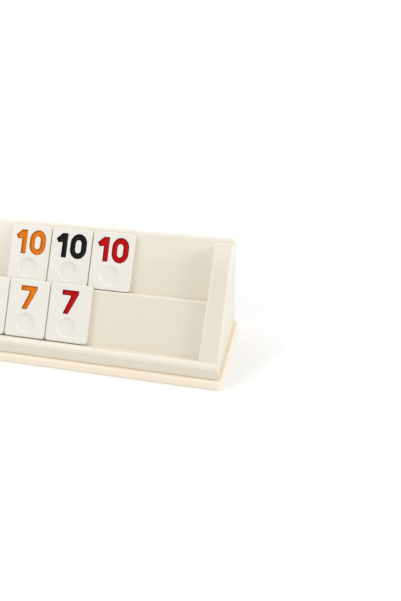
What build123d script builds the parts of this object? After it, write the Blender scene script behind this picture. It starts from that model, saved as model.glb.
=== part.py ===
from build123d import *
import os
from math import cos, radians, sin, tan

# Two-tier rack for rummy tiles: a hollow plastic moulding on a base plate, with six loose number tiles.
# Frame: millimetres, +Z up, +X along the rack to the right as a player sees it, +Y towards the back.
# Origin: centre of the underside of the base plate.

# ---------------------------------------------------------------- tiles
TILE_WIDTH = 26.9
TILE_HEIGHT = 35.8
TILE_THICKNESS = 3.9
TILE_CORNER_RADIUS = 1.2
TILE_BEVEL = 0.45           # round both faces
TILE_GAP = 0.35             # between neighbouring tiles in one set
DISH_DIAMETER = 13.0        # finger dish in each tile's face, at its rim
DISH_DEPTH = 0.5
DISH_ABOVE_FOOT = 8.9       # from the tile's lower edge to the middle of its dish
UPPER_SET = ["tile_10_orange", "tile_10_black", "tile_10_red"]
LOWER_SET = ["tile_7_black", "tile_7_orange", "tile_7_red"]
UPPER_SET_TO_STRIP = 48.4   # free ledge between the last upper tile and the right end strip
LOWER_SET_TO_STRIP = 70.2   # the same on the lower tier

# ---------------------------------------------------------------- rack shell
PLACE_COUNT = 13            # tile places along each tier
WALL = 2.2
SLOPE_ANGLE = 54.0          # both tiers, from the horizontal
TIER_CLEARANCE = 0.3        # an upper tile's face passes this far behind a lower tile's back
TIER_OVERLAP = 1.65         # a lower tile's top edge stands this far above the upper ledge
TOP_MARGIN = 3.8            # panel left free above an upper tile
TOP_LAND = 2.2              # thickness of the top edge, square to the slope
BACK_LEAN = 3.2             # back wall, from the vertical
LIP_RADIUS = 3.2            # full round from the lower ledge over to the front
LIP_DRAFT = 1.0             # front of the lip, from the vertical
FOOT_RISE = 6.85            # lower ledge's inner corner above the shell's open underside
CORNER_RADIUS = 0.9         # hollow corners behind the tiles' feet
STEP_RADIUS = 0.8           # front edge of the upper ledge
REVEAL_HEIGHT = 0.5         # shadow gap round the shell's foot, above the base plate
REVEAL_DEPTH = 0.9

# ---------------------------------------------------------------- end strips
STRIP_WIDTH = 12.4          # at the lower end
STRIP_TAPER = 1.9           # the strip is this much narrower at its upper end
STRIP_HEIGHT = 5.4          # above the lower panel
STRIP_TOP_MARGIN = 5.0      # panel left free above the strip's upper end
STRIP_CORNER_RADIUS = 1.2
END_RADIUS = 0.9            # round each end wall and strip, and along the top
TOP_CORNER_RADIUS = 3.0     # outer top corners, seen from the front

# ---------------------------------------------------------------- inside the shell
HOLLOW_RADIUS = 0.8
RIB_THICKNESS = 1.6
RIB_COUNT = 4
RIB_CLEARANCE = 6.0         # under each rib, above the base plate
RIB_ARCH_RADIUS = 9.0
RIB_ARCH_INSET = 25.0       # from the shell's back to the middle of each rib's arch
BOSS_DIAMETER = 7.4
BOSS_COLUMNS = 2
BOSS_END_INSET = 30.0       # from the end wall's outside to the outer bosses
BOSS_FRONT_INSET = 17.0     # from the shell's front
BOSS_BACK_INSET = 10.0      # from the shell's back, at the underside

# ---------------------------------------------------------------- base plate and screws
PLATE_THICKNESS = 5.6
PLATE_MARGIN = 2.4          # outside the shell, all round
PLATE_CORNER_RADIUS = 3.0
PLATE_BEVEL = 0.6           # round the upper face
PLATE_FOOT_BEVEL = 0.5      # round the underside
SPIGOT_HEIGHT = 3.0         # rib on the plate that stands just inside the shell's walls
SPIGOT_THICKNESS = 1.8
SPIGOT_CLEARANCE = 0.3
SCREW_DIAMETER = 2.9
SCREW_LENGTH = 10.0         # under the head
HEAD_DIAMETER = 5.6
HEAD_HEIGHT = 2.0
HEAD_RECESS = 0.4           # head's underside above the plate's
SLOT_LENGTH = 3.4           # cross slot in each head
SLOT_WIDTH = 0.8
SLOT_DEPTH = 1.0
SCREW_HOLE_CLEARANCE = 0.25 # around the shank, in the plate
THREAD_CLEARANCE = 0.04     # around the shank, in its boss
PILOT_SPARE = 1.5           # pilot hole past the screw's tip

# ---------------------------------------------------------------- worked out
PITCH = TILE_WIDTH + TILE_GAP
STEP_DEPTH = TILE_THICKNESS + TIER_CLEARANCE
FOOT_LIFT = max(CORNER_RADIUS - TILE_BEVEL, 0)      # the hollow corner keeps a tile's foot this far up
UPPER_LEDGE = FOOT_LIFT + TILE_HEIGHT - TIER_OVERLAP
TIER_LENGTH = PLACE_COUNT * PITCH
LENGTH = TIER_LENGTH + 2 * STRIP_WIDTH
LEDGE_DEPTH = TILE_THICKNESS - TILE_BEVEL           # flat under a tile's foot, before the lip's round
UP = (cos(radians(SLOPE_ANGLE)), sin(radians(SLOPE_ANGLE)))     # (y, z) up the slope
OUT = (-UP[1], UP[0])                                           # (y, z) out of the slope

# Sizes measured from the lower ledge's inner corner, before the rack is centred on the plate.
LIP_Y = LEDGE_DEPTH * OUT[0] - LIP_RADIUS * UP[0]
LIP_Z = LEDGE_DEPTH * OUT[1] - LIP_RADIUS * UP[1]
FRONT = LIP_Y - LIP_RADIUS / cos(radians(LIP_DRAFT)) - (LIP_Z + FOOT_RISE) * tan(radians(LIP_DRAFT))
TOP_ALONG = UPPER_LEDGE + FOOT_LIFT + TILE_HEIGHT + TOP_MARGIN
TOP_OUT = -STEP_DEPTH - TOP_LAND
TOP_BACK = TOP_ALONG * UP[0] + TOP_OUT * OUT[0]
TOP_RISE = TOP_ALONG * UP[1] + TOP_OUT * OUT[1]
BACK = TOP_BACK + (TOP_RISE + FOOT_RISE) * tan(radians(BACK_LEAN))
DEPTH = BACK - FRONT
FOOT_Y = -DEPTH / 2 - FRONT
FOOT_Z = PLATE_THICKNESS + FOOT_RISE
FRONT_Y = FOOT_Y + FRONT
BACK_Y = FOOT_Y + BACK
STRIP_END = TOP_ALONG - STRIP_TOP_MARGIN
HEAD_SEAT = HEAD_RECESS + HEAD_HEIGHT
RIB_ARCH_Y = BACK_Y - RIB_ARCH_INSET
STANDING = (Align.CENTER, Align.CENTER, Align.MIN)
TINY = 0.001


def on_slope(along, out):
    """Point (y, z) at a distance up the slope and out of it, from the lower ledge's inner corner."""
    return (FOOT_Y + along * UP[0] + out * OUT[0], FOOT_Z + along * UP[1] + out * OUT[1])


def slope_plane(x, along, out):
    """Plane with its x along the rack, its y up the slope and its z out of the slope."""
    return Plane(origin=(x, *on_slope(along, out)), x_dir=(1, 0, 0), z_dir=(0, *OUT))


def across(x):
    """Plane across the rack, whose own x and y are the rack's y and z."""
    return Plane(origin=(x, 0, 0), x_dir=(0, 1, 0), z_dir=(1, 0, 0))


def meet(point_a, way_a, point_b, way_b):
    """Point where two lines cross, each given by a point and a direction."""
    turn = way_a[0] * way_b[1] - way_a[1] * way_b[0]
    gap = (point_b[0] - point_a[0], point_b[1] - point_a[1])
    step = (gap[0] * way_b[1] - gap[1] * way_b[0]) / turn
    return (point_a[0] + step * way_a[0], point_a[1] + step * way_a[1])


def round_corners(face, points, radius):
    """Rounds the corners of a flat outline that lie at the given points."""
    corners = [face.vertices().sort_by_distance((*point, 0))[0] for point in points]
    return fillet(corners, radius)


def front_line(inset):
    """Front of the lip, inset by a wall: a point at the level of the plate's top, and its direction."""
    draft = radians(LIP_DRAFT)
    return (FRONT_Y + inset / cos(draft), PLATE_THICKNESS), (sin(draft), cos(draft))


def back_line(inset):
    """Back wall, inset by a wall: a point at the level of the plate's top, and its direction."""
    lean = radians(BACK_LEAN)
    return (BACK_Y - inset / cos(lean), PLATE_THICKNESS), (-sin(lean), cos(lean))


def outer_section():
    """Outside of the shell, cut across the rack: lip, lower tier, upper tier, top and back."""
    lip = (FOOT_Y + LIP_Y, FOOT_Z + LIP_Z)
    draft = radians(LIP_DRAFT)
    lip_front = (lip[0] - LIP_RADIUS * cos(draft), lip[1] + LIP_RADIUS * sin(draft))
    foot = on_slope(0, 0)
    ledge_front = on_slope(UPPER_LEDGE, 0)
    ledge_back = on_slope(UPPER_LEDGE, -STEP_DEPTH)
    top_front = on_slope(TOP_ALONG, -STEP_DEPTH)
    top_back = on_slope(TOP_ALONG, -STEP_DEPTH - TOP_LAND)
    crest = (lip[0], lip[1] + LIP_RADIUS)
    round_over = ThreePointArc(lip_front, crest, on_slope(0, LEDGE_DEPTH))
    tiers = Polyline(on_slope(0, LEDGE_DEPTH), foot, ledge_front, ledge_back, top_front, top_back)
    rest = Polyline(top_back, (BACK_Y, PLATE_THICKNESS), (FRONT_Y, PLATE_THICKNESS), lip_front)
    face = make_face(round_over + tiers + rest)
    face = round_corners(face, [foot, ledge_back], CORNER_RADIUS)
    return round_corners(face, [ledge_front], STEP_RADIUS)


def inner_section():
    """Hollow of the shell, cut across the rack: one wall inside the outer section, and open below."""
    front, front_way = front_line(WALL)
    back, back_way = back_line(WALL)
    below = PLATE_THICKNESS - WALL
    level = (1, 0)
    lip = meet(front, front_way, on_slope(-WALL, 0), OUT)
    foot = on_slope(-WALL, -WALL)
    step_front = on_slope(UPPER_LEDGE - WALL, -WALL)
    step_back = on_slope(UPPER_LEDGE - WALL, -STEP_DEPTH - WALL)
    peak = meet(step_back, UP, back, back_way)
    front_bottom = meet(front, front_way, (0, below), level)
    back_bottom = meet(back, back_way, (0, below), level)
    face = make_face(Polyline(front_bottom, lip, foot, step_front, step_back, peak, back_bottom,
                              close=True))
    return round_corners(face, [lip, foot, step_front, step_back, peak], HOLLOW_RADIUS)


def strip_outline(inset):
    """Right end strip seen square to the slope, inset by a wall; its inner side tapers upwards."""
    low = inset - LIP_RADIUS
    high = STRIP_END - inset
    end = LENGTH / 2 - inset
    side_low = LENGTH / 2 - STRIP_WIDTH + inset
    side_high = side_low + STRIP_TAPER
    outline = make_face(Polyline((side_low, low), (end, low), (end, high), (side_high, high), close=True))
    if inset == 0:
        outline = round_corners(outline, [(side_high, high)], STRIP_CORNER_RADIUS)
    return outline


def end_strip():
    """Raised strip across the right end, from inside the shell's wall out past both tiers."""
    depth = STEP_DEPTH + WALL / 2
    return extrude(slope_plane(0, 0, -depth) * strip_outline(0), depth + STRIP_HEIGHT)


def strip_hollow():
    """Space under the right end strip, which opens into the shell's main hollow."""
    depth = STEP_DEPTH + WALL
    return extrude(slope_plane(0, 0, -depth) * strip_outline(WALL), depth + STRIP_HEIGHT - WALL)


def top_corner():
    """What the rounded top corner takes off the right end, square to the slope."""
    radius = TOP_CORNER_RADIUS
    corner = slope_plane(LENGTH / 2 - radius, TOP_ALONG - radius, 0)
    waste = Rectangle(2 * radius, 2 * radius, align=Align.MIN) - Circle(radius)
    return extrude(corner * waste, STRIP_HEIGHT) + extrude(corner * waste, -DEPTH)


def rounded_edges(half):
    """Edges of the right half that are rounded: round the end wall, the top and the strip's face."""
    chosen = []
    for edge in half.edges():
        middle = edge @ 0.5
        y, z = middle.Y - FOOT_Y, middle.Z - FOOT_Z
        along = y * UP[0] + z * UP[1]
        out = y * OUT[0] + z * OUT[1]
        end_wall = abs(middle.X - LENGTH / 2) < TINY and middle.Z > PLATE_THICKNESS + TINY
        strip_face = abs(out - STRIP_HEIGHT) < TINY and along > 0
        top = along > TOP_ALONG - TOP_CORNER_RADIUS
        straight_out = abs((edge % 0.5).dot(Vector(0, *OUT))) > 1 - TINY
        smooth = straight_out and along > STRIP_END + TINY
        if (end_wall or strip_face or top) and not smooth:
            chosen.append(edge)
    return chosen


def shell_outside():
    """The shell as a block: the section drawn out to its length, with a strip across each end."""
    half = (extrude(across(0) * outer_section(), LENGTH / 2) + end_strip() - top_corner()).clean()
    half = fillet(rounded_edges(half), END_RADIUS)
    return (half + mirror(half, Plane.YZ)).clean()


def reveal():
    """Shadow gap round the shell's foot: a shallow step cut into the walls from outside."""
    outside = Rectangle(2 * LENGTH, 2 * DEPTH)
    seat = Rectangle(LENGTH - 2 * REVEAL_DEPTH, DEPTH - 2 * REVEAL_DEPTH)
    return extrude(Pos(0, 0, PLATE_THICKNESS) * (outside - seat), REVEAL_HEIGHT)


def shell_hollow():
    """The shell's hollow: the inner section from end wall to end wall, and under both strips."""
    length = LENGTH - 2 * WALL
    hollow = extrude(across(-length / 2) * inner_section(), length)
    strip = strip_hollow()
    return hollow + strip + mirror(strip, Plane.YZ)


def rib_places():
    """Middles of the ribs, evenly along the shell."""
    spacing = LENGTH / (RIB_COUNT + 1)
    return [spacing * (number - (RIB_COUNT - 1) / 2) for number in range(RIB_COUNT)]


def boss_places():
    """Middles of the screw bosses on the base plate: a front and a back row."""
    reach = LENGTH / 2 - BOSS_END_INSET
    columns = [reach * (2 * number / (BOSS_COLUMNS - 1) - 1) for number in range(BOSS_COLUMNS)]
    rows = [FRONT_Y + BOSS_FRONT_INSET, BACK_Y - BOSS_BACK_INSET]
    return [(x, y) for x in columns for y in rows]


def rib(x):
    """One rib across the hollow, cut off above the base plate and arched in the middle."""
    low = PLATE_THICKNESS + RIB_CLEARANCE
    tall = TOP_RISE + FOOT_RISE
    slab = Pos(x, 0, low) * Box(RIB_THICKNESS, DEPTH, tall, align=(Align.CENTER, Align.CENTER, Align.MIN))
    arch = Pos(x, RIB_ARCH_Y, low) * Rot(0, 90, 0) * Cylinder(RIB_ARCH_RADIUS, 2 * RIB_THICKNESS)
    return slab - arch


def boss(x, y):
    """One screw boss, from the base plate up into the sloping wall."""
    tall = TOP_RISE + FOOT_RISE
    return Pos(x, y, PLATE_THICKNESS) * Cylinder(BOSS_DIAMETER / 2, tall, align=STANDING)


def pilot_hole(x, y):
    """Blind hole for one screw, up into its boss."""
    deep = HEAD_SEAT + SCREW_LENGTH + PILOT_SPARE - PLATE_THICKNESS
    return Pos(x, y, PLATE_THICKNESS) * Cylinder(SCREW_DIAMETER / 2 + THREAD_CLEARANCE, deep,
                                                 align=STANDING)


def rack_shell():
    """The whole moulding: walls, strips, ribs and screw bosses."""
    block = shell_outside()
    inside = [rib(x) for x in rib_places()] + [boss(x, y) for x, y in boss_places()]
    shell = block - shell_hollow() + (block & (Part() + inside)) - reveal()
    return shell - [pilot_hole(x, y) for x, y in boss_places()]


def base_plate():
    """Flat plate under the shell, with a low rib that stands inside the shell's walls."""
    long = LENGTH + 2 * PLATE_MARGIN
    deep = DEPTH + 2 * PLATE_MARGIN
    plate = extrude(RectangleRounded(long, deep, PLATE_CORNER_RADIUS), PLATE_THICKNESS)
    plate = chamfer(plate.faces().sort_by(Axis.Z)[-1].edges(), PLATE_BEVEL)
    plate = chamfer(plate.faces().sort_by(Axis.Z)[0].edges(), PLATE_FOOT_BEVEL) + spigot()
    for x, y in boss_places():
        plate -= Pos(x, y, 0) * Cylinder(HEAD_DIAMETER / 2 + SCREW_HOLE_CLEARANCE, HEAD_SEAT, align=STANDING)
        plate -= Pos(x, y, 0) * Cylinder(SCREW_DIAMETER / 2 + SCREW_HOLE_CLEARANCE, PLATE_THICKNESS,
                                         align=STANDING)
    return plate


def spigot():
    """Low rib on the plate, clear of the shell's inner walls up to its own top."""
    front, front_way = front_line(WALL)
    back, back_way = back_line(WALL)
    top = (0, PLATE_THICKNESS + SPIGOT_HEIGHT)
    front_y = meet(front, front_way, top, (1, 0))[0] + SPIGOT_CLEARANCE
    back_y = meet(back, back_way, top, (1, 0))[0] - SPIGOT_CLEARANCE
    long = LENGTH - 2 * (WALL + SPIGOT_CLEARANCE)
    ring = Rectangle(long, back_y - front_y)
    ring -= Rectangle(long - 2 * SPIGOT_THICKNESS, back_y - front_y - 2 * SPIGOT_THICKNESS)
    return extrude(Pos(0, (front_y + back_y) / 2, PLATE_THICKNESS) * ring, SPIGOT_HEIGHT)


def screw(x, y):
    """One pan-head screw, head down in its recess under the plate."""
    head = Pos(x, y, HEAD_RECESS) * Cylinder(HEAD_DIAMETER / 2, HEAD_HEIGHT, align=STANDING)
    slot = Pos(x, y, HEAD_RECESS) * Box(SLOT_LENGTH, SLOT_WIDTH, 2 * SLOT_DEPTH)
    head -= [slot, Pos(x, y, 0) * Rot(0, 0, 90) * Pos(-x, -y, 0) * slot]
    return head + Pos(x, y, HEAD_SEAT) * Cylinder(SCREW_DIAMETER / 2, SCREW_LENGTH, align=STANDING)


def tile(x, along, out):
    """One tile: x is its left side, along and out are its foot's place on the slope."""
    face = RectangleRounded(TILE_WIDTH, TILE_HEIGHT, TILE_CORNER_RADIUS)
    block = extrude(face, TILE_THICKNESS)
    block = chamfer(block.faces().filter_by(Axis.Z).edges(), TILE_BEVEL)
    ball = ((DISH_DIAMETER / 2) ** 2 + DISH_DEPTH**2) / (2 * DISH_DEPTH)
    dish = Pos(0, DISH_ABOVE_FOOT - TILE_HEIGHT / 2, TILE_THICKNESS - DISH_DEPTH + ball)
    block -= dish * Rot(0, -90, 0) * Sphere(ball)
    return slope_plane(x + TILE_WIDTH / 2, along, out) * Pos(0, TILE_HEIGHT / 2, 0) * block


def tile_set(names, to_strip, along, out):
    """One set of tiles side by side on a tier; the last ends at a distance from the right strip."""
    right = TIER_LENGTH / 2 - to_strip
    tiles = {}
    for number, name in enumerate(names):
        left = right - (len(names) - number) * PITCH + TILE_GAP
        tiles[name] = tile(left, along, out)
    return tiles


def all_parts():
    parts = {"rack_shell": rack_shell(), "base_plate": base_plate()}
    parts["base_screws"] = Compound([screw(x, y).solid() for x, y in boss_places()])
    parts |= tile_set(UPPER_SET, UPPER_SET_TO_STRIP, UPPER_LEDGE + FOOT_LIFT, -STEP_DEPTH)
    parts |= tile_set(LOWER_SET, LOWER_SET_TO_STRIP, FOOT_LIFT, 0)
    return parts


os.makedirs("parts", exist_ok=True)
for part_name, part in all_parts().items():
    export_step(part, f"parts/{part_name}.step")
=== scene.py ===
from math import atan2, ceil, copysign, cos, pi, radians, sin, tan

import bpy
import numpy as np
from mathutils import Matrix, Vector
from mathutils.geometry import delaunay_2d_cdt


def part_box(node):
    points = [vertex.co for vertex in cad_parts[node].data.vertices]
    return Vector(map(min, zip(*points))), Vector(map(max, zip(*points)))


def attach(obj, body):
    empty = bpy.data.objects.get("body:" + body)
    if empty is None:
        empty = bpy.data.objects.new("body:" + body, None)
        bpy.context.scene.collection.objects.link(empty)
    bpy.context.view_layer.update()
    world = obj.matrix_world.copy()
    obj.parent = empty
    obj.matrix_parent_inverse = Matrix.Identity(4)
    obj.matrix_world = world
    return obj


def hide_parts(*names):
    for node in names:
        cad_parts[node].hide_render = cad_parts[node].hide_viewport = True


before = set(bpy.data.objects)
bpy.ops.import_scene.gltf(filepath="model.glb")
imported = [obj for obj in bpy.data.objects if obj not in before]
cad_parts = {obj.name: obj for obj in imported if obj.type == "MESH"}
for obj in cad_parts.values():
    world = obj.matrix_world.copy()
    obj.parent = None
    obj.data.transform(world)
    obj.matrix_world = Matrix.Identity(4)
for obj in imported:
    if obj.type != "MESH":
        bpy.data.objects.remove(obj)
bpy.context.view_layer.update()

# Two-tier rummy rack with six number tiles. Lengths are millimetres and angles are degrees, unless a comment
# says otherwise; MM turns millimetres into Blender's metres.
MM = 0.001

# ---------------------------------------------------------------- tiles
TILE_WIDTH = 26.65
TILE_HEIGHT = 35.8
TILE_THICKNESS = 3.9
TILE_CORNER_RADIUS = 2.0
TILE_EDGE_WIDTH = 1.1           # rounding between a face and the side, across the face
TILE_EDGE_DEPTH = 0.85          # and down the side
EDGE_STEPS = 6                  # facets round that rounding
SLOPE_ANGLE = 54.0              # both tiers, from the horizontal
ARC_ANGLE = 12.0                # turn of an outline's rounded corner for each of its points
OUTLINE_STEP = 0.3              # spacing of the points round a numeral
SIDE_STEP = 1.6                 # the same round a tile's side
FLAT_BORDER = 0.12              # flat ring beside each rounding, which keeps the face's shading flat
TILE_SHARP_ANGLE = 50.0         # between two facets that shade as an edge
SAME_POINT = 1e-5               # points of a sheet that are closer than this become one
STEP_SLACK = 1e-6               # share of a step that a run may be over a whole number of them
INSIDE_ONLY = 1                 # Blender's triangulation: no triangles outside the outermost ring

DISH_X = TILE_WIDTH / 2         # from the tile's left edge
DISH_Y = 8.9                    # from its foot
DISH_POINTS = 64
# Dish profile from the rim inwards: (radius, depth). The last steps are the gate mark in its middle.
DISH_PROFILE = [(6.6, 0), (6.45, 0), (6.34, 0.02), (6.2, 0.12), (6.02, 0.35), (5.8, 0.67), (5.55, 0.93),
                (5.25, 1.08), (4.8, 1.14), (4.1, 1.17), (3.2, 1.19), (2.2, 1.21), (1.4, 1.22), (0.95, 1.22),
                (0.85, 1.25), (0.7, 1.34), (0.5, 1.38), (0.25, 1.39)]

# Groove of a numeral and the paint in it: depth by distance from the numeral's outline.
GROOVE_INSET = [0, 0.05, 0.16, 0.34, 0.6, 1.0, 1.6]
GROOVE_DEPTH = [0, 0.15, 0.55, 0.9, 1.05, 1.12, 1.15]
PAINT_INSET = [0.02, 0.12, 0.28, 0.6, 1.0, 1.6]
PAINT_DEPTH = [0.03, 0.3, 0.62, 0.88, 0.98, 1.0]
PAINT_OVERLAP = 0.02            # the paint's underside lies this far below the groove's floor
GROOVE_RINGS = 4                # how many of the groove's steps follow its outline
PAINT_RINGS = 3
FROM_EDGE = "from_edge"         # mesh attribute: each paint point's distance from the numeral's outline
GROOVE_GRID = 0.45              # spacing of the points across the floor of a groove or its paint
GRID_MARGIN = GROOVE_GRID / 3   # between those points and the innermost ring

# Numerals, from the tile's left edge and foot: corners as (x, y, radius), anticlockwise.
ONE = [(7.5, 17.3, 0.5), (10.95, 17.3, 0.5), (10.95, 32.6, 0.55), (7.25, 32.6, 1.6), (3.3, 28.85, 0.45),
       (4.85, 26.35, 0.5), (7.5, 26.9, 0.3)]
SEVEN = [(8.05, 28.75, 0.45), (14.1, 28.75, 0.7), (9.6, 17.3, 0.45), (13.2, 17.3, 0.5),
         (18.9, 29.7, 1.6), (18.9, 32.0, 0.5), (8.05, 32.0, 0.45)]
# The nought: middle x and y, half width, half height and height of its elliptical ends.
NOUGHT_OUTSIDE = (18.38, 24.93, 5.42, 7.85, 6.1)
NOUGHT_INSIDE = (18.28, 24.8, 1.85, 4.1, 2.3)

# ---------------------------------------------------------------- base screws
SCREW_POINTS = 32               # round a screw
HEAD_RADIUS = 2.8
HEAD_HEIGHT = 2.0
HEAD_EDGE_RADIUS = 0.7
EDGE_RINGS = 4                  # round the head's edge
CROSS_REACH = 1.7               # from the middle of the head to the end of an arm of its recess
CROSS_HALF_WIDTH = 0.42
CROSS_CORNER_RADIUS = 0.25      # more than its deepest inset
CROSS_INSET = [0, 0.08, 0.2]
CROSS_DEPTH = [0, 0.85, 1.05]
CROSS_STEP = 10.0               # longer than its sides, so that its points are at its corners alone
SHANK_RADIUS = 1.45             # over the thread
THREAD_DEPTH = 0.35
THREAD_PITCH = 1.25
RIDGE_SHARE = 2 / 3             # of the pitch that the thread's ridge takes up
THREAD_RINGS = 6                # for each turn of the thread
POINT_LENGTH = 2.4
POINT_RADIUS = 0.1
SCREW_SHARP_ANGLE = 35.0

# ---------------------------------------------------------------- painted highlights along the rack's edges
# Distances up the slope and out of it are from the lower tiles' feet, and those to the side from the rack's
# middle. A line of painted highlight along the rack: its distance up and out, how far it runs to each side,
# how much paler its middle is, from 0 to 1, and how far that reaches.
UPPER_LEDGE_EDGE = (34.15, -3.9, 177.5, 0.5, 1.6)
LIP_ROUND = (-2.6, 2.58, 189.5, 0.33, 3.0)
TOP_EDGE = (74.2, -8.1, 189.5, 1.0, 4.2)
STRIP_TOP = (69.0, 1.5, 189.5, 0.45, 18.0)
# A line of painted highlight up both end strips: its distance to the side at the tiles' feet, how much that
# grows for each millimetre up, its distance out, how much paler it is, and how far that reaches.
STRIP_INSIDE = (177.2, 0.026, 1.2, 0.55, 1.5)
STRIP_OUTSIDE = (189.2, 0.0, 1.2, 0.55, 1.5)
LINE_FADE = 2.0                 # over which a line ends
LINE_MIDDLE = 0.2               # share of its reach that is as pale as its middle
LOWER_TILE = "tile_7_red"       # any tile of the lower tier, whose foot the edges and the camera are set from

# ---------------------------------------------------------------- materials
# Colours are 8-bit sRGB levels, and noise scales are cycles for each metre. A pair is a low and a high value.
# A pair named LEVELS is the part of the noise, from 0 to 1, over which something comes up.
RACK_COLOUR = (233, 225, 208)
HIGHLIGHT_COLOUR = (254, 249, 238)       # painted highlight along the rack's edges
BASE_COLOUR = (255, 242, 221)
TILE_COLOUR = (239, 235, 226)
ORANGE, BLACK, RED = (238, 130, 2), (19, 20, 22), (198, 6, 11)
MIDDLE_LEVELS = (0.3, 0.7)      # of most noise

# Plastic: clouds and specks in its colour, with the share of the change in colour that each makes.
CLOUD_SCALE, CLOUD_SHARE = 14.0, 0.7
SPECK_SCALE, SPECK_SHARE = 650.0, 0.3
GLOSS_SCALE = 60.0              # patches of more and less gloss
GLOSS_CHANGE = (-0.008, 0.012)  # in roughness
GRAIN_STRENGTH = 0.6
SCRATCH_TURN = (0.4, 0.3, 0.5)  # radians
SCRATCH_SCALE = 30.0            # along a scratch
SCRATCH_FINENESS = 130          # times that scale across it
SCRATCH_LEVELS = (0.6, 0.85)
SCRATCHED_SCALE = 60.0          # patches that have scratches
SCRATCHED_LEVELS = (0.45, 0.62)
SCRATCH_ROUGH = 0.01            # added to the roughness
SCRATCH_DEPTH = 0.15            # taken from the grain's height, from 0 to 1
EDGE_ROUGH_DROP = 0.03             # taken from the roughness along the painted edge highlights
HIGHLIGHT_NOISE_SCALE = 90.0               # unevenness of the painted highlights
HIGHLIGHT_NOISE_LEVELS = (0.3, 0.65)
HIGHLIGHT_LEAST = 0.8

# Paint in the numerals
PAINT_SPECULAR = 0.1
PAINT_CLOUD_SCALE = 320.0
PAINT_CLOUD = (0.92, 1.1)       # factors on its colour
RIM_FADE = (0.1, 1.2)           # from a numeral's outline, over which its darker rim of painted shade fades
PAINT_GLOSS_SCALE = 500.0
PAINT_ROUGH = (0.2, 0.34)
RIPPLE_SCALE, RIPPLE_STRENGTH, RIPPLE_DEPTH = 700.0, 0.5, 0.03

# Zinc on the screws
ZINC_TONES = ((168, 170, 172), (205, 206, 204))
MOTTLE_SCALE, MOTTLE_STRENGTH, MOTTLE_DEPTH = 900.0, 0.4, 0.01
ZINC_GLOSS_SCALE = 1500.0
ZINC_ROUGH = (0.24, 0.4)

# ---------------------------------------------------------------- stage and light, in metres
FLOOR_SIZE = 12.0
FLOOR_DROP = 0.0001             # below the base plate
FLOOR_LIFT = 0.12               # white added to the floor where it is seen
FLOOR_FADE = (0.35, 0.75)       # from the rack's middle, over which the floor turns plain white
FLOOR_CLOUD_SCALE = 5.0
FLOOR_TONES = (0.86, 0.9)       # linear greys
FLOOR_ROUGH = 0.9
FLOOR_SPECULAR = 0.1
WORLD_STRENGTH = 0.62
# Softboxes: name, azimuth, elevation, distance, size and watts. Azimuth 0 is straight in front of the rack,
# and 90 to its right.
LAMPS = [("left", -54, 38, 1.6, 0.55, 3.8),
         ("right", 88, 30, 1.4, 0.55, 6.2),
         ("top", -100, 60, 1.5, 0.6, 2.1),
         ("behind", -155, 58, 1.5, 0.6, 2.6),
         ("front", 0, 12, 1.6, 0.7, 1.55)]
LAMPS_AIM = (0.1, 0, 0.03)      # what they look at

# ---------------------------------------------------------------- camera
CAMERA_AZIMUTH = 12.542         # to the right of straight in front
CAMERA_ELEVATION = 33.476
CAMERA_ROLL = -0.69
CAMERA_DISTANCE = 335.07
CAMERA_TARGET = (173.074, 25.035, 24.695)      # from the rack's middle, and from the lower tiles' feet
FOCAL_PIXELS = 563.05
IMAGE_HEIGHT = 601              # pixels, the image's long side
SENSOR = 36.0                   # its width, which Blender fits to the image's long side


def unit(vector):
    """A vector's direction."""
    return vector / np.linalg.norm(vector)


def turned(vector, angle):
    """A flat vector turned anticlockwise."""
    return np.array((vector[0] * cos(angle) - vector[1] * sin(angle),
                     vector[0] * sin(angle) + vector[1] * cos(angle)))


# ================================================================ outlines
def filled_in(points, normals, step):
    """An outline with more points along its straight runs, no further apart than a step."""
    out_points, out_normals = [], []
    for i, (point, normal) in enumerate(zip(points, normals)):
        after = points[(i + 1) % len(points)]
        after_normal = normals[(i + 1) % len(points)]
        count = max(1, ceil(np.linalg.norm(after - point) / step - STEP_SLACK))
        for k in range(count):
            share = k / count
            out_points.append(point * (1 - share) + after * share)
            out_normals.append(unit(normal * (1 - share) + after_normal * share))
    return np.array(out_points), np.array(out_normals)


def rounded_outline(corners, step):
    """Points and outward normals round a closed outline whose corners are (x, y, radius), anticlockwise."""
    points, normals = [], []
    for i, (x, y, radius) in enumerate(corners):
        here = np.array((x, y))
        way_in = unit(here - np.array(corners[i - 1][:2]))
        way_out = unit(np.array(corners[(i + 1) % len(corners)][:2]) - here)
        turn = atan2(way_in[0] * way_out[1] - way_in[1] * way_out[0], way_in @ way_out)
        start = here - way_in * radius * tan(abs(turn) / 2)
        centre = start + turned(way_in, pi / 2) * radius * copysign(1, turn)
        count = max(2, ceil(abs(turn) / radians(ARC_ANGLE)))
        for k in range(count + 1):
            angle = turn * k / count
            way = turned(way_in, angle)
            points.append(centre + turned(start - centre, angle))
            normals.append(np.array((way[1], -way[0])))
    return filled_in(points, normals, step)


def oval_outline(middle_x, middle_y, half_width, half_height, end_height, step):
    """Points and outward normals round an upright oval: straight sides between two half ellipses."""
    straight = half_height - end_height
    count = ceil(pi * (half_width + end_height) / 2 / step)
    points, normals = [], []
    for end in (0, 1):
        for k in range(count + 1):
            angle = pi * (end + k / count)
            x, y = cos(angle), sin(angle)
            points.append(np.array((middle_x + half_width * x,
                                    middle_y + (straight if end == 0 else -straight) + end_height * y)))
            normals.append(unit(np.array((x / half_width, y / end_height))))
    return filled_in(points, normals, step)


def circle(radius, count):
    """Points round a circle about the origin."""
    angles = np.arange(count) * 2 * pi / count
    return np.stack((np.cos(angles), np.sin(angles)), 1) * radius


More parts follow.
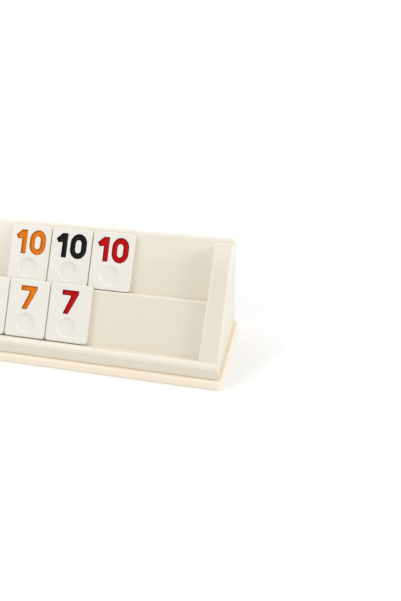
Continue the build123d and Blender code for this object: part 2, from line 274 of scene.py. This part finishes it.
def inside(points, outline):
    """Which points lie inside a closed outline."""
    after = np.roll(outline, -1, 0)
    x, y = points[:, :1], points[:, 1:]
    spans = (outline[:, 1] > y) != (after[:, 1] > y)
    rise = after[:, 1] - outline[:, 1]
    rise = np.where(rise == 0, 1, rise)         # a level edge spans no point, so any rise will do
    crossing = outline[:, 0] + (y - outline[:, 1]) / rise * (after[:, 0] - outline[:, 0])
    return (spans & (x < crossing)).sum(1) % 2 == 1


def distance_to(points, outline):
    """Each point's distance from a closed outline."""
    run = np.roll(outline, -1, 0) - outline
    share = ((points[:, None] - outline) * run).sum(2) / (run * run).sum(1)
    nearest = outline + np.clip(share, 0, 1)[:, :, None] * run
    return np.linalg.norm(points[:, None] - nearest, axis=2).min(1)


# ================================================================ numerals
class Stroke:
    """One painted shape of a numeral: its outline and any hole, each with outward normals."""

    def __init__(self, outline, hole=None):
        self.loops = [(outline[0], outline[1], 1)]
        if hole:
            self.loops.append((hole[0], hole[1], -1))

    def rings(self, inset):
        """The stroke's edge moved inwards, one ring for each loop."""
        return [points - normals * inset * side for points, normals, side in self.loops]

    def holds(self, points, inset=0):
        """Which points lie in the stroke, with its edge moved inwards."""
        outline, *holes = self.rings(inset)
        inner = inside(points, outline)
        for hole in holes:
            inner &= ~inside(points, hole)
        return inner

    def distance(self, points):
        """Each point's distance from the stroke's edge."""
        return np.min([distance_to(points, loop[0]) for loop in self.loops], 0)

    def floor_points(self, margin):
        """An even grid across the stroke's floor, clear of its edge, and each point's distance from it."""
        low, high = self.loops[0][0].min(0), self.loops[0][0].max(0)
        across, up = (np.arange(low[i], high[i], GROOVE_GRID) for i in (0, 1))
        grid = np.stack(np.meshgrid(across, up), -1).reshape(-1, 2)
        grid = grid[self.holds(grid)]
        away = self.distance(grid)
        clear = away > margin
        return grid[clear], away[clear]


def numeral_strokes(value):
    """The strokes of the numeral 7 or 10."""
    if value == 7:
        return [Stroke(rounded_outline(SEVEN, OUTLINE_STEP))]
    nought = Stroke(oval_outline(*NOUGHT_OUTSIDE, OUTLINE_STEP), oval_outline(*NOUGHT_INSIDE, OUTLINE_STEP))
    return [Stroke(rounded_outline(ONE, OUTLINE_STEP)), nought]


# ================================================================ meshes
class Relief:
    """A flat sheet of triangles with a depth at each point, cut along given rings."""

    def __init__(self):
        self.points, self.depths, self.edges = [], [], []

    def ring(self, points, depth):
        """Adds a closed ring, which the triangles follow, at one depth."""
        first, count = len(self.points), len(points)
        self.points += [tuple(p) for p in points]
        self.depths += [depth] * count
        self.edges += [(first + i, first + (i + 1) % count) for i in range(count)]

    def scatter(self, points, depths):
        """Adds loose points, each with its own depth."""
        self.points += [tuple(p) for p in points]
        self.depths += list(depths)

    def sink(self, stroke, insets, depths, ring_count):
        """A stroke's sunken floor: rings along its edge, then a grid. Gives each point's distance from it."""
        away = []
        for inset, depth in list(zip(insets, depths))[:ring_count]:
            for ring in stroke.rings(inset):
                self.ring(ring, depth)
                away += [inset] * len(ring)
        floor, floor_away = stroke.floor_points(insets[ring_count - 1] + GRID_MARGIN)
        self.scatter(floor, np.interp(floor_away, insets, depths))
        return away + list(floor_away)

    def triangles(self):
        """Points as (x, y, -depth), triangles, and the new number of each point."""
        flat, _, faces, origins, _, _ = delaunay_2d_cdt([Vector(p) for p in self.points], self.edges, [],
                                                        INSIDE_ONLY, SAME_POINT)
        number = {}
        for new, olds in enumerate(origins):
            number.update((old, new) for old in olds)
        depths = [self.depths[olds[0]] for olds in origins]
        vertices = [(p.x, p.y, -depth) for p, depth in zip(flat, depths)]
        return vertices, [tuple(f) for f in faces], number


def add_band(vertices, faces, rim, points, depth):
    """A band of faces from a ring of vertices down to a new one, whose numbers it gives."""
    ring = [len(vertices) + i for i in range(len(rim))]
    vertices += [(x, y, -depth) for x, y in points]
    faces += zip(rim, ring, ring[1:] + ring[:1], rim[1:] + rim[:1])
    return ring


def mesh_object(name, vertices, faces, place, sharp_angle):
    """A smooth-shaded piece from millimetre vertices, which a matrix puts in its place in metres."""
    mesh = bpy.data.meshes.new(name)
    mesh.from_pydata([tuple(v * MM for v in vertex) for vertex in vertices], [], faces)
    mesh.transform(place)
    mesh.polygons.foreach_set("use_smooth", [True] * len(mesh.polygons))
    mesh.set_sharp_from_angle(angle=radians(sharp_angle))
    mesh.validate()
    piece = bpy.data.objects.new(name, mesh)
    bpy.context.scene.collection.objects.link(piece)
    return piece


def tile_place(node):
    """The matrix that puts a tile on its tier, from a frame with x along the rack and y up the slope."""
    low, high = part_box(node)
    place = Matrix.Rotation(radians(SLOPE_ANGLE), 4, "X")
    corner = Vector((-TILE_WIDTH, -TILE_HEIGHT, TILE_THICKNESS)) * MM / 2
    place.translation = (low + high) / 2 + place @ corner
    return place


def side_outline(inset):
    """Points round the tile's side, moved inwards."""
    radius = TILE_CORNER_RADIUS
    corners = [(0, 0, radius), (TILE_WIDTH, 0, radius), (TILE_WIDTH, TILE_HEIGHT, radius),
               (0, TILE_HEIGHT, radius)]
    points, normals = rounded_outline(corners, SIDE_STEP)
    return points - normals * inset


def tile_face(strokes):
    """The tile's front face inside its rounding, with its numeral's groove and its dish."""
    face = Relief()
    face.ring(side_outline(TILE_EDGE_WIDTH), 0)
    face.ring(side_outline(TILE_EDGE_WIDTH + FLAT_BORDER), 0)
    for stroke in strokes:
        for ring in stroke.rings(-FLAT_BORDER):
            face.ring(ring, 0)
        face.sink(stroke, GROOVE_INSET, GROOVE_DEPTH, GROOVE_RINGS)
    for radius, depth in DISH_PROFILE:
        face.ring(circle(radius, DISH_POINTS) + (DISH_X, DISH_Y), depth)
    return face


def make_tile(name, strokes, place):
    """One moulded tile: the front face, rounded edges, the side and a plain back."""
    vertices, faces, number = tile_face(strokes).triangles()
    rim = [number[i] for i in range(len(side_outline(0)))]
    steps = [pi / 2 * k / EDGE_STEPS for k in range(EDGE_STEPS + 1)]
    sections = [(1 - sin(a), TILE_EDGE_DEPTH * (1 - cos(a))) for a in steps[1:]]
    back = [(share, TILE_THICKNESS - depth) for share, depth in [(1.0, 0.0)] + sections]
    for share, depth in sections + back[::-1] + [(1.0 + FLAT_BORDER / TILE_EDGE_WIDTH, TILE_THICKNESS)]:
        rim = add_band(vertices, faces, rim, side_outline(share * TILE_EDGE_WIDTH), depth)
    faces.append(tuple(reversed(rim)))
    return mesh_object(name, vertices, faces, place, TILE_SHARP_ANGLE)


def make_paint(name, strokes, place):
    """The paint in one numeral's groove: a thin closed layer for each stroke."""
    vertices, faces, from_edge = [], [], []
    for stroke in strokes:
        layer = Relief()
        away = layer.sink(stroke, PAINT_INSET, PAINT_DEPTH, PAINT_RINGS)
        top, triangles, number = layer.triangles()
        middles = np.array([np.mean([top[i][:2] for i in triangle], 0) for triangle in triangles])
        triangles = [t for t, kept in zip(triangles, stroke.holds(middles, PAINT_INSET[0])) if kept]
        old = {new: first for first, new in sorted(number.items(), reverse=True)}
        away = [away[old[i]] for i in range(len(top))]
        under = [(x, y, -np.interp(distance, GROOVE_INSET, GROOVE_DEPTH) - PAINT_OVERLAP)
                 for distance, (x, y, _) in zip(away, top)]
        from_edge += away * 2
        first, below = len(vertices), len(vertices) + len(top)
        vertices += top + under
        faces += [tuple(first + i for i in t) for t in triangles]
        faces += [tuple(below + i for i in reversed(t)) for t in triangles]
        start = 0
        for points, _, side in stroke.loops:
            loop = [number[start + i] for i in range(len(points))][::side]
            faces += [(first + a, below + a, below + b, first + b) for a, b in zip(loop, loop[1:] + loop[:1])]
            start += len(points)
    paint = mesh_object(name, vertices, faces, place, TILE_SHARP_ANGLE)
    paint.data.attributes.new(FROM_EDGE, "FLOAT", "POINT").data.foreach_set("value", from_edge)
    return paint


def cross_outline():
    """Corners of the cross recess, as (x, y, radius), anticlockwise."""
    reach, half = CROSS_REACH, CROSS_HALF_WIDTH
    arm = [(-half, -reach), (half, -reach), (half, -half)]
    corners = []
    for _ in range(4):
        corners += [(x, y, CROSS_CORNER_RADIUS) for x, y in arm]
        arm = [(-y, x) for x, y in arm]
    return corners


def thread_radius(angle, depth, length):
    """The shank's radius at an angle and a depth: a ridge that winds down it, and a point at its end."""
    turns = (depth - HEAD_HEIGHT) / THREAD_PITCH - angle / (2 * pi)
    from_crest = 1 - 2 * abs(turns % 1 - 0.5)
    ridge = max(0, 1 - from_crest / RIDGE_SHARE)
    taper = min(1, (length - depth) / POINT_LENGTH)
    return max(POINT_RADIUS, (SHANK_RADIUS - THREAD_DEPTH * (1 - ridge)) * taper)


def screw_shape(length):
    """One screw's points and faces, with its head's face at height 0 and its point below."""
    face = Relief()
    face.ring(circle(HEAD_RADIUS - HEAD_EDGE_RADIUS, SCREW_POINTS), 0)
    recess = Stroke(rounded_outline(cross_outline(), CROSS_STEP))
    for inset, depth in zip(CROSS_INSET, CROSS_DEPTH):
        for ring in recess.rings(inset):
            face.ring(ring, depth)
    vertices, faces, number = face.triangles()
    rim = [number[i] for i in range(SCREW_POINTS)]
    round_head = circle(1.0, SCREW_POINTS)
    rings = []
    for k in range(1, EDGE_RINGS + 1):
        angle = pi / 2 * k / EDGE_RINGS
        rings.append((round_head * (HEAD_RADIUS - HEAD_EDGE_RADIUS * (1 - sin(angle))),
                      HEAD_EDGE_RADIUS * (1 - cos(angle))))
    rings.append((round_head * HEAD_RADIUS, HEAD_HEIGHT))
    for k in range(ceil((length - HEAD_HEIGHT) / THREAD_PITCH * THREAD_RINGS) + 1):
        depth = min(length, HEAD_HEIGHT + k * THREAD_PITCH / THREAD_RINGS)
        radii = [thread_radius(2 * pi * i / SCREW_POINTS, depth, length) for i in range(SCREW_POINTS)]
        rings.append((round_head * np.array(radii)[:, None], depth))
    for points, depth in rings:
        rim = add_band(vertices, faces, rim, points, depth)
    faces.append(tuple(reversed(rim)))
    return vertices, faces


def make_screws(name, node):
    """The four screws under the base plate, head down, where the CAD's plain ones are."""
    low, high = (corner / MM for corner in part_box(node))
    shape, shape_faces = screw_shape(high.z - low.z)
    vertices, faces = [], []
    for x in (low.x + HEAD_RADIUS, high.x - HEAD_RADIUS):
        for y in (low.y + HEAD_RADIUS, high.y - HEAD_RADIUS):
            faces += [tuple(i + len(vertices) for i in face) for face in shape_faces]
            vertices += [(x + point[0], y - point[1], low.z - point[2]) for point in shape]
    return mesh_object(name, vertices, faces, Matrix(), SCREW_SHARP_ANGLE)


# ================================================================ materials
def colour(levels, factor=1.0):
    """A linear colour from 8-bit sRGB levels, made darker or lighter by a factor."""
    shares = [level / 255 for level in levels]
    linear = [v / 12.92 if v <= 0.04045 else ((v + 0.055) / 1.055) ** 2.4 for v in shares]
    return tuple(v * factor for v in linear) + (1.0,)


def add(tree, kind, inputs=None, **settings):
    """A new shader node; its inputs are values, or outputs of other nodes, by socket name or number."""
    made = tree.nodes.new(kind)
    for name, value in settings.items():
        setattr(made, name, value)
    for key, value in (inputs or {}).items():
        if isinstance(value, bpy.types.NodeSocket):
            tree.links.new(value, made.inputs[key])
        else:
            made.inputs[key].default_value = value
    return made


def noise(tree, coordinates, scale, detail=2.0, rough=0.5):
    """Noise from 0 to 1; the scale is in cycles for each metre."""
    return add(tree, "ShaderNodeTexNoise", {"Vector": coordinates, "Scale": scale, "Detail": detail,
                                            "Roughness": rough}).outputs[0]


def spread(tree, value, low, high, levels=MIDDLE_LEVELS):
    """A value between two levels, stretched over another range and clamped to it."""
    return add(tree, "ShaderNodeMapRange", {"Value": value, "From Min": levels[0], "From Max": levels[1],
                                            "To Min": low, "To Max": high}).outputs[0]


def mixed(tree, share, colour_a, colour_b):
    """Two colours mixed by a share."""
    return add(tree, "ShaderNodeMix", {0: share, 6: colour_a, 7: colour_b}, data_type="RGBA").outputs[2]


def combined(tree, operation, first, second):
    """Two numbers combined by a Math node."""
    return add(tree, "ShaderNodeMath", {0: first, 1: second}, operation=operation).outputs[0]


def vector_length(tree, vector):
    """The length of a vector socket."""
    return add(tree, "ShaderNodeVectorMath", {0: vector}, operation="LENGTH").outputs["Value"]


def new_material(name):
    """An empty material with its tree, its surface shader and the piece's own coordinates."""
    material = bpy.data.materials.new(name)
    material.use_nodes = True
    tree = material.node_tree
    coordinates = add(tree, "ShaderNodeTexCoord").outputs["Object"]
    return material, tree, tree.nodes["Principled BSDF"], coordinates


def finish_surface(tree, surface, tone, gloss, height, strength, depth):
    """Gives a surface its colour, its roughness and a bump, whose depth is in millimetres."""
    bump = add(tree, "ShaderNodeBump", {"Height": height, "Strength": strength, "Distance": depth * MM})
    tree.links.new(tone, surface.inputs["Base Color"])
    tree.links.new(gloss, surface.inputs["Roughness"])
    tree.links.new(bump.outputs[0], surface.inputs["Normal"])


def scratches(tree, coordinates):
    """Fine hair scratches across a surface, as a mask from 0 to 1."""
    across = SCRATCH_SCALE * SCRATCH_FINENESS
    stretched = add(tree, "ShaderNodeMapping", {"Vector": coordinates, "Rotation": SCRATCH_TURN,
                                                "Scale": (SCRATCH_SCALE, across, across)}).outputs[0]
    lines = noise(tree, stretched, 1.0, detail=1.0)
    patches = noise(tree, coordinates, SCRATCHED_SCALE)
    return combined(tree, "MULTIPLY", spread(tree, lines, 0.0, 1.0, SCRATCH_LEVELS),
                    spread(tree, patches, 0.0, 1.0, SCRATCHED_LEVELS))


def edge_highlight_mask(tree, coordinates):
    """Mask of the painted highlights along the rack's edges, fading with distance from them."""
    slope = radians(SLOPE_ANGLE)
    from_feet = add(tree, "ShaderNodeVectorMath", {0: coordinates, 1: (0, tile_feet.y, tile_feet.z)},
                    operation="SUBTRACT").outputs[0]
    up, out = (add(tree, "ShaderNodeVectorMath", {0: from_feet, 1: way},
                   operation="DOT_PRODUCT").outputs["Value"]
               for way in ((0, cos(slope), sin(slope)), (0, -sin(slope), cos(slope))))
    along_rack = add(tree, "ShaderNodeSeparateXYZ", {0: from_feet}).outputs[0]
    side = add(tree, "ShaderNodeMath", {0: along_rack}, operation="ABSOLUTE").outputs[0]
    lines = []
    for along, height, run, share, reach in (UPPER_LEDGE_EDGE, LIP_ROUND, TOP_EDGE, STRIP_TOP):
        strength = spread(tree, side, share, 0.0, (run * MM, (run + LINE_FADE) * MM))
        lines.append((combined(tree, "SUBTRACT", up, along * MM), height, strength, reach))
    for middle, lean, height, share, reach in (STRIP_INSIDE, STRIP_OUTSIDE):
        strength = spread(tree, up, 0.0, share, (-LINE_FADE * MM, 0.0))
        beside = combined(tree, "SUBTRACT", side, combined(tree, "MULTIPLY", up, lean))
        lines.append((combined(tree, "SUBTRACT", beside, middle * MM), height, strength, reach))
    mask = 0.0
    for across, height, strength, reach in lines:
        away = add(tree, "ShaderNodeCombineXYZ", {0: across, 1: combined(tree, "SUBTRACT", out, height * MM)})
        near = spread(tree, vector_length(tree, away.outputs[0]), 1.0, 0.0,
                      (reach * LINE_MIDDLE * MM, reach * MM))
        mask = combined(tree, "MAXIMUM", mask, combined(tree, "MULTIPLY", near, strength))
    # Uneven strength of the painted highlights.
    highlight_share = spread(tree, noise(tree, coordinates, HIGHLIGHT_NOISE_SCALE, detail=4.0), HIGHLIGHT_LEAST, 1.0, HIGHLIGHT_NOISE_LEVELS)
    return combined(tree, "MULTIPLY", mask, highlight_share)


def plastic(name, base, rough, grain_scale, grain_depth, cloud, painted_highlights=False):
    """Moulded plastic: cloudy colour, uneven gloss, mould grain, hair scratches, and painted highlights along
    edges.
    """
    material, tree, surface, coordinates = new_material(name)
    broad = spread(tree, noise(tree, coordinates, CLOUD_SCALE), 0.0, CLOUD_SHARE)
    fine = spread(tree, noise(tree, coordinates, SPECK_SCALE, detail=4.0), 0.0, SPECK_SHARE)
    tone = mixed(tree, combined(tree, "ADD", broad, fine), colour(base, 1 - cloud), colour(base, 1 + cloud))
    marks = scratches(tree, coordinates)
    gloss = spread(tree, noise(tree, coordinates, GLOSS_SCALE), *(rough + change for change in GLOSS_CHANGE))
    gloss = combined(tree, "ADD", gloss, combined(tree, "MULTIPLY", marks, SCRATCH_ROUGH))
    if painted_highlights:
        highlight_share = edge_highlight_mask(tree, coordinates)
        # Painted highlight: the edges' colour goes paler, standing in for light on their roundings.
        tone = mixed(tree, highlight_share, tone, colour(HIGHLIGHT_COLOUR))
        gloss = combined(tree, "SUBTRACT", gloss, combined(tree, "MULTIPLY", highlight_share, EDGE_ROUGH_DROP))
    grain = noise(tree, coordinates, grain_scale, detail=3.0, rough=0.6)
    height = combined(tree, "SUBTRACT", grain, combined(tree, "MULTIPLY", marks, SCRATCH_DEPTH))
    finish_surface(tree, surface, tone, gloss, height, GRAIN_STRENGTH, grain_depth)
    return material


def enamel(name, base, rim):
    """Satin paint pooled in a groove: cloudy, with painted shade darkening it by a factor along its rim, and
    with a faint ripple.
    """
    material, tree, surface, coordinates = new_material(name)
    surface.inputs["Specular IOR Level"].default_value = PAINT_SPECULAR
    pooled = spread(tree, noise(tree, coordinates, PAINT_CLOUD_SCALE, detail=3.0), 0.0, 1.0)
    tone = mixed(tree, pooled, *(colour(base, factor) for factor in PAINT_CLOUD))
    from_edge = add(tree, "ShaderNodeAttribute", attribute_name=FROM_EDGE).outputs["Fac"]
    # Painted shade: the paint darkens towards the numeral's outline, where the groove's walls fall into
    # shade.
    tone = mixed(tree, spread(tree, from_edge, 0.0, 1.0, RIM_FADE), colour(base, rim), tone)
    gloss = spread(tree, noise(tree, coordinates, PAINT_GLOSS_SCALE), *PAINT_ROUGH)
    ripple = noise(tree, coordinates, RIPPLE_SCALE)
    finish_surface(tree, surface, tone, gloss, ripple, RIPPLE_STRENGTH, RIPPLE_DEPTH)
    return material


def zinc(name):
    """Zinc-plated steel with a mottled, slightly dull plating."""
    material, tree, surface, coordinates = new_material(name)
    surface.inputs["Metallic"].default_value = 1.0
    mottle = spread(tree, noise(tree, coordinates, MOTTLE_SCALE, detail=4.0), 0.0, 1.0)
    tone = mixed(tree, mottle, *(colour(levels) for levels in ZINC_TONES))
    gloss = spread(tree, noise(tree, coordinates, ZINC_GLOSS_SCALE), *ZINC_ROUGH)
    finish_surface(tree, surface, tone, gloss, mottle, MOTTLE_STRENGTH, MOTTLE_DEPTH)
    return material


tile_feet = tile_place(LOWER_TILE).translation
rack_plastic = plastic("rack_plastic", RACK_COLOUR, rough=0.26, grain_scale=2600.0, grain_depth=0.003,
                       cloud=0.007, painted_highlights=True)
base_plastic = plastic("base_plastic", BASE_COLOUR, rough=0.4, grain_scale=2200.0, grain_depth=0.005,
                       cloud=0.01)
tile_plastic = plastic("tile_plastic", TILE_COLOUR, rough=0.24, grain_scale=3000.0, grain_depth=0.002,
                       cloud=0.01)
screw_steel = zinc("screw_steel")
# The rim factors set how dark the painted shade along each numeral's outline is.
paints = {"orange": enamel("paint_orange", ORANGE, rim=0.5),
          "black": enamel("paint_black", BLACK, rim=0.1),
          "red": enamel("paint_red", RED, rim=0.42)}

# ================================================================ the rack and its tiles
for node_name, finish in (("rack_shell", rack_plastic), ("base_plate", base_plastic)):
    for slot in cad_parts[node_name].material_slots:
        slot.material = finish

screws = make_screws("base_screws_threaded", "base_screws")
screws.data.materials.append(screw_steel)
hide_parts("base_screws")
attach(screws, "rack")

for node_name in sorted(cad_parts):
    if not node_name.startswith("tile_"):
        continue
    _, value, paint = node_name.split("_")
    shapes = numeral_strokes(int(value))
    tile_frame = tile_place(node_name)
    tile = make_tile(f"{node_name}_moulding", shapes, tile_frame)
    tile.data.materials.append(tile_plastic)
    numeral = make_paint(f"{node_name}_numeral", shapes, tile_frame)
    numeral.data.materials.append(paints[paint])
    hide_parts(node_name)
    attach(tile, node_name)
    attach(numeral, node_name)


# ================================================================ stage, light and camera
def seen_rays(tree):
    """1 for the rays that show the background: the camera's own, and those of gloss and glass."""
    path = add(tree, "ShaderNodeLightPath").outputs
    seen = path["Is Camera Ray"]
    for kind in ("Is Glossy Ray", "Is Transmission Ray"):
        seen = combined(tree, "MAXIMUM", seen, path[kind])
    return seen


def make_floor():
    """A wide white floor that keeps the object's shadow."""
    half = FLOOR_SIZE / 2
    corners = [(-half, -half), (half, -half), (half, half), (-half, half)]
    mesh = bpy.data.meshes.new("floor")
    mesh.from_pydata([(x, y, -FLOOR_DROP) for x, y in corners], [], [(0, 1, 2, 3)])
    floor = bpy.data.objects.new("floor", mesh)
    bpy.context.scene.collection.objects.link(floor)
    material, tree, surface, coordinates = new_material("floor_paper")
    greys = [(tone, tone, tone, 1) for tone in FLOOR_TONES]
    tree.links.new(mixed(tree, noise(tree, coordinates, FLOOR_CLOUD_SCALE), *greys),
                   surface.inputs["Base Color"])
    surface.inputs["Roughness"].default_value = FLOOR_ROUGH
    surface.inputs["Specular IOR Level"].default_value = FLOOR_SPECULAR
    seen = seen_rays(tree)
    glow = add(tree, "ShaderNodeEmission", {"Strength": combined(tree, "MULTIPLY", seen, FLOOR_LIFT)})
    paper = add(tree, "ShaderNodeAddShader", {0: surface.outputs[0], 1: glow.outputs[0]})
    fade = spread(tree, vector_length(tree, coordinates), 0.0, 1.0, FLOOR_FADE)
    far = combined(tree, "MULTIPLY", seen, fade)
    white = add(tree, "ShaderNodeEmission", {"Strength": 1.0})
    both = add(tree, "ShaderNodeMixShader", {0: far, 1: paper.outputs[0], 2: white.outputs[0]})
    tree.links.new(both.outputs[0], tree.nodes["Material Output"].inputs["Surface"])
    mesh.materials.append(material)


def make_world():
    """Even soft light all round, and plain white where the camera looks past the floor."""
    world = bpy.data.worlds.new("studio")
    world.use_nodes = True
    tree = world.node_tree
    tree.nodes.clear()
    soft = add(tree, "ShaderNodeBackground", {"Color": (1, 1, 1, 1), "Strength": WORLD_STRENGTH})
    white = add(tree, "ShaderNodeBackground", {"Color": (1, 1, 1, 1), "Strength": 1.0})
    both = add(tree, "ShaderNodeMixShader", {0: seen_rays(tree), 1: soft.outputs[0], 2: white.outputs[0]})
    output = add(tree, "ShaderNodeOutputWorld")
    tree.links.new(both.outputs[0], output.inputs["Surface"])
    bpy.context.scene.world = world


def make_lamp(name, azimuth, elevation, distance, size, power):
    """A square softbox that looks at the rack."""
    light = bpy.data.lights.new(name, "AREA")
    light.size = size
    light.energy = power
    lamp = bpy.data.objects.new(name, light)
    side, rise = radians(azimuth), radians(elevation)
    away = Vector((sin(side) * cos(rise), -cos(side) * cos(rise), sin(rise)))
    lamp.location = away * distance + Vector(LAMPS_AIM)
    lamp.rotation_euler = away.to_track_quat("Z", "Y").to_euler()
    bpy.context.scene.collection.objects.link(lamp)


def make_camera():
    """The camera at the photograph's view."""
    azimuth, elevation, roll = (radians(v) for v in (CAMERA_AZIMUTH, CAMERA_ELEVATION, CAMERA_ROLL))
    look = Vector((-sin(azimuth) * cos(elevation), cos(azimuth) * cos(elevation), -sin(elevation)))
    level = Vector((cos(azimuth), sin(azimuth), 0))
    up = level.cross(look)
    right = cos(roll) * level + sin(roll) * up
    top = cos(roll) * up - sin(roll) * level
    camera = bpy.data.objects.new("camera", bpy.data.cameras.new("camera"))
    camera.data.sensor_width = SENSOR
    camera.data.lens = FOCAL_PIXELS * SENSOR / IMAGE_HEIGHT
    place = Matrix((right, top, -look)).transposed().to_4x4()
    target = Vector(CAMERA_TARGET) * MM + Vector((0, tile_feet.y, tile_feet.z))
    place.translation = target - look * CAMERA_DISTANCE * MM
    camera.matrix_world = place
    bpy.context.scene.collection.objects.link(camera)
    bpy.context.scene.camera = camera


make_floor()
make_world()
for lamp_settings in LAMPS:
    make_lamp(*lamp_settings)
make_camera()
bpy.context.scene.view_settings.view_transform = "Standard"
